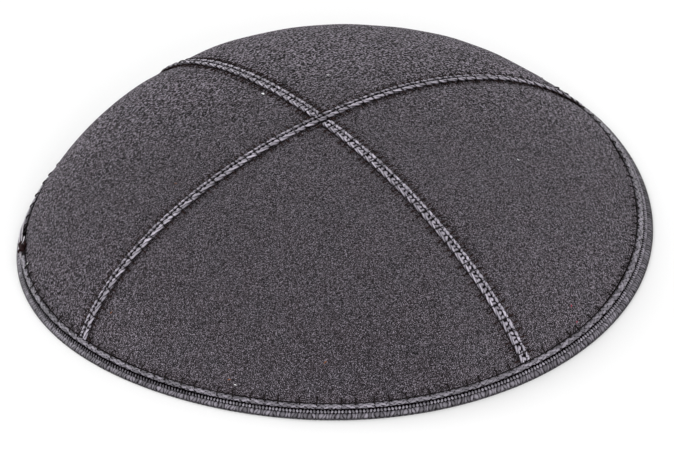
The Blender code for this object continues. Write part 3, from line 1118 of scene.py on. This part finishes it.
def rim_knot():
    """The small dark knot where the rim's braid closes, its loose loop and two pulled strands."""
    here = wall_frame(KNOT_TURN, drop_at(KNOT_TURN, KNOT_HEIGHT))
    t = np.linspace(0.0, 2.0 * np.pi, 90)
    tangle = np.stack([np.sin(t) + 2.0 * np.sin(2.0 * t), (np.cos(t) - 2.0 * np.cos(2.0 * t)) * 0.72,
                       1.3 - 0.8 * np.sin(3.0 * t)], axis=1) * KNOT_SIZE
    tangled = tube_surface(placed(here, tangle), here[3], KNOT_THREAD_HALF, 10, False)
    knot = join_surfaces("rim_knot", [tangled], False, THREADS["knot_thread"])
    s = np.linspace(0.0, 1.0, 40)[:, None]
    swing = np.pi * 1.7 * s - 0.5
    loop = np.concatenate([-0.0008 + 0.0013 * np.cos(swing), 0.0019 + 0.0010 * np.sin(swing),
                           0.0016 - 0.0008 * s], axis=1)
    tail = np.concatenate([0.0008 + 0.0030 * s, -0.0006 - 0.0008 * s * s, 0.0013 - 0.0004 * s], axis=1)
    loose = [tube_surface(placed(here, line), here[3], LOOSE_THREAD_HALF, 8, True)
             for line in (loop, tail)]
    for height, away, first, last in PULLED:
        turn = KNOT_TURN + np.linspace(first, last, 60)
        foot, lean, out = rim_points(turn)
        away = away + 0.00012 * np.sin(np.radians(turn * 40.0))
        strand = foot + lean * height + out * away[:, None]
        loose.append(tube_surface(strand, UP, PULLED_THREAD_HALF, 8, True))
    strands = join_surfaces("rim_loose_strands", loose, False, THREADS["pale_thread"])
    for piece in (knot, strands):
        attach(piece, "root")


def lint_fleck(turn, drop, length, half, heading):
    """A short bent hair that lies on the suede."""
    point, around, upward, out = wall_frame(turn, drop)
    here = (point + out * max(undulation(point), 0.0), around, upward, out)
    angle = math.radians(heading)
    share = np.linspace(-0.5, 0.5, 9)
    run, bow = share * length, 0.20 * length * np.cos(np.pi * share)
    hair = np.stack([run * math.cos(angle) - bow * math.sin(angle),
                     run * math.sin(angle) + bow * math.cos(angle),
                     np.full_like(run, 0.9 * half)], axis=1)
    return tube_surface(placed(here, hair), out, half, 8, True)


def lint():
    """Flecks of lint that lie on the suede."""
    for kind, rows in LINT.items():
        name = kind + "_lint"
        piece = join_surfaces(name, [lint_fleck(*row) for row in rows], False, THREADS[name])
        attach(piece, "root")


def build_cap():
    """All the pieces of the cap."""
    for name, seams in PANELS.items():
        suede_panel(name, *seams)
    seam_braid("seam_braid_long", [("left", -1), ("right", 1)], LONG_NEAR_HALF, FAR_CORD)
    seam_braid("seam_braid_front", [("front", 1)], SHORT_NEAR_HALF, SHORT_FAR_CORD)
    seam_braid("seam_braid_back", [("back", -1)], SHORT_NEAR_HALF, SHORT_FAR_CORD)
    rim_cord("rim_cord_upper", UPPER_CORD, CORD_DARKENING)
    rim_cord("rim_bead_row", BEADS, GROOVE_DARKENING)
    rim_cord("rim_cord_lower", LOWER_CORD, FOOT_DARKENING)
    rim_fold()
    seam_stitches()
    edge_ticks()
    rim_stitches()
    rim_knot()
    lint()


build_cap()


# The floor, the light and the camera

FLOOR_HALF = 3.0
FLOOR_HEIGHT = -0.00005
ROOM_LIGHT = 0.84

# The lights: azimuth 0 stands at -Y and 90 at +X, and each looks at the cap
LIGHTS = {
    "sky_panel": {"azimuth": 196.0, "elevation": 40.0, "distance": 2.0, "size": 1.0, "power": 15.0},
    "front_fill": {"azimuth": -21.0, "elevation": 13.0, "distance": 2.4, "size": 1.6, "power": 36.0},
}


def stage_floor():
    """A plain pale floor."""
    mesh = bpy.data.meshes.new("floor")
    corners = ((-1, -1), (1, -1), (1, 1), (-1, 1))
    mesh.from_pydata([(FLOOR_HALF * x, FLOOR_HALF * y, FLOOR_HEIGHT) for x, y in corners], [],
                     [(0, 1, 2, 3)])
    material, tree, shader = new_material("pale_floor")
    feed(shader, {"Base Color": (0.92, 0.92, 0.92, 1.0), "Roughness": 0.9, "Specular IOR Level": 0.1})
    mesh.materials.append(material)
    floor = bpy.data.objects.new("floor", mesh)
    STAGE.objects.link(floor)


def stage_light(name, azimuth, elevation, distance, size, power):
    """A soft square light that looks at the cap."""
    light = bpy.data.lights.new(name, "AREA")
    light.shape = "SQUARE"
    light.size = size
    light.energy = power
    lamp = bpy.data.objects.new(name, light)
    around, over = math.radians(azimuth), math.radians(elevation)
    back = Vector((math.sin(around) * math.cos(over), -math.cos(around) * math.cos(over),
                   math.sin(over)))
    lamp.location = back * distance
    lamp.rotation_euler = back.to_track_quat("Z", "Y").to_euler()
    STAGE.objects.link(lamp)


def stage_world(strength):
    """Even white light from all round."""
    world = bpy.data.worlds.new("white_room")
    world.use_nodes = True
    feed(world.node_tree.nodes["Background"], {"Color": (1.0, 1.0, 1.0, 1.0), "Strength": strength})
    bpy.context.scene.world = world


CAMERA_ELEVATION = 33.74
CAMERA_AZIMUTH = 30.84
CAMERA_ROLL = 7.04
CAMERA_DISTANCE = 2.227
CAMERA_TARGET_HEIGHT = 0.015
AIM_ACROSS = 0.00026
AIM_UP = 0.009405
PIXELS_PER_METRE = 3667.1
IMAGE_WIDTH = 675
SENSOR = 36.0


def photo_camera():
    """A long lens from the front left, rolled a little, as the photograph was taken."""
    azimuth, elevation = math.radians(CAMERA_AZIMUTH), math.radians(CAMERA_ELEVATION)
    roll = math.radians(CAMERA_ROLL)
    forward = Vector((math.sin(azimuth) * math.cos(elevation), math.cos(azimuth) * math.cos(elevation),
                      -math.sin(elevation)))
    right = Vector((math.cos(azimuth), -math.sin(azimuth), 0.0))
    up = right.cross(forward)
    across = right * math.cos(roll) - up * math.sin(roll)
    upright = right * math.sin(roll) + up * math.cos(roll)
    target = Vector((0.0, 0.0, CAMERA_TARGET_HEIGHT))
    place = target - forward * CAMERA_DISTANCE
    aim = target - across * AIM_ACROSS - upright * AIM_UP
    back = (place - aim).normalized()
    across = upright.cross(back).normalized()
    upright = back.cross(across)
    data = bpy.data.cameras.new("photo_camera")
    data.sensor_width = SENSOR
    data.lens = PIXELS_PER_METRE * CAMERA_DISTANCE * SENSOR / IMAGE_WIDTH
    data.clip_end = 20.0
    camera = bpy.data.objects.new("photo_camera", data)
    turn = Matrix((across, upright, back)).transposed().to_4x4()
    camera.matrix_world = Matrix.Translation(place) @ turn
    STAGE.objects.link(camera)
    bpy.context.scene.camera = camera


stage_floor()
stage_world(ROOM_LIGHT)
for light_name, light_row in LIGHTS.items():
    stage_light(light_name, **light_row)
photo_camera()
bpy.context.scene.view_settings.view_transform = "Standard"
